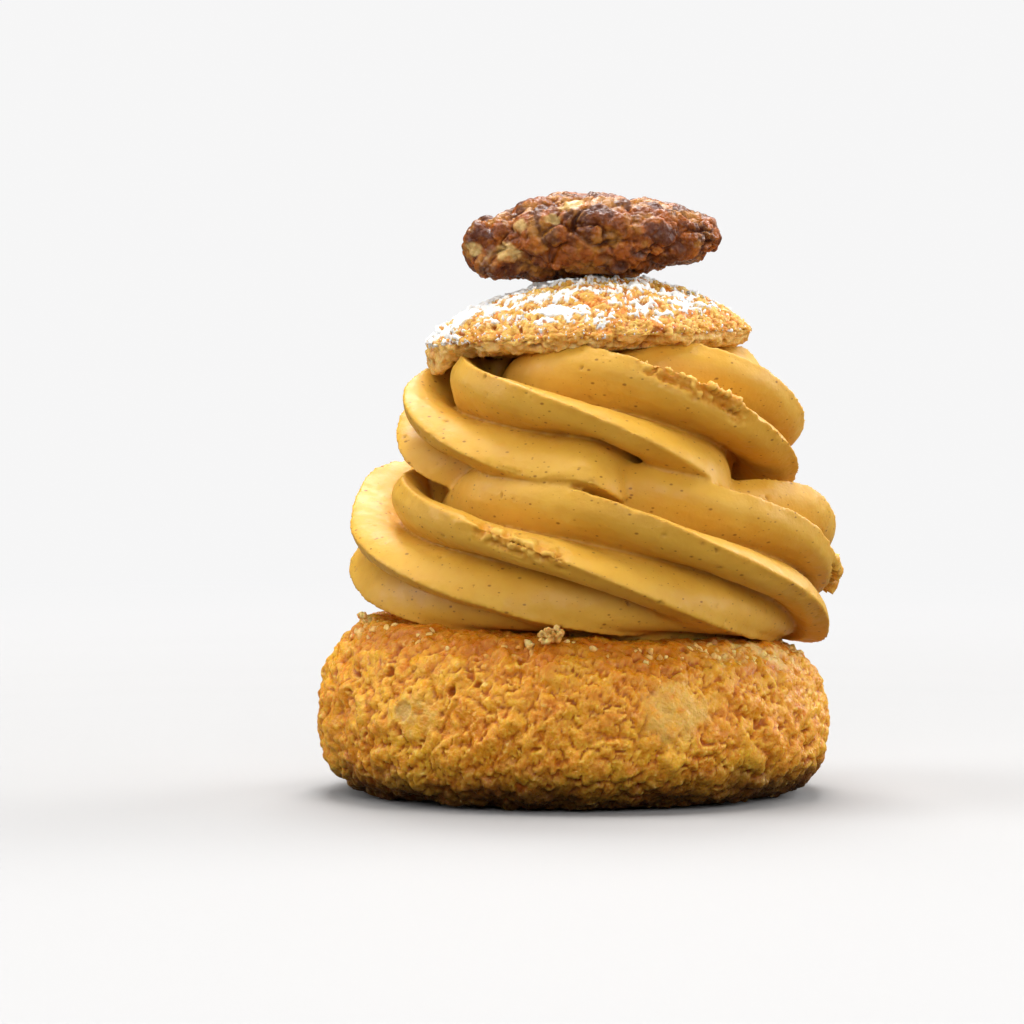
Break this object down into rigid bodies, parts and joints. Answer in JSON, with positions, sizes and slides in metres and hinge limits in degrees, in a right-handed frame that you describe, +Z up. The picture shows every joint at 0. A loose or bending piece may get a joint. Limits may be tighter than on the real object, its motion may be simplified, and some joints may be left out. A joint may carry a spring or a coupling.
{
  "type": "cream puff",
  "caption": "Craquelin choux bun cut in two, with tall ridged swirls of piped caramel cream between the halves and a candied nut on the sugared lid.",
  "frame": {"origin": "centre of the flat foot under the base", "axes": "+Z up through the swirl; +X along the nut's length, towards its pointed end; the front faces -Y"},
  "size_m": [0.0649, 0.0645, 0.075],
  "materials": {
    "crust": "rough baked sugar crust, golden brown",
    "cream": "satin piped caramel cream",
    "lid_crust": "rough baked sugar crust, golden, dusted with icing sugar",
    "nut": "glossy candied brown",
    "sugar": "powdery white icing sugar"
  },
  "bodies": {
    "root": {"choux_base": "crust", "cream_swirl": "cream", "choux_lid": "lid_crust", "candied_nut": "nut"}
  },
  "joints": []
}
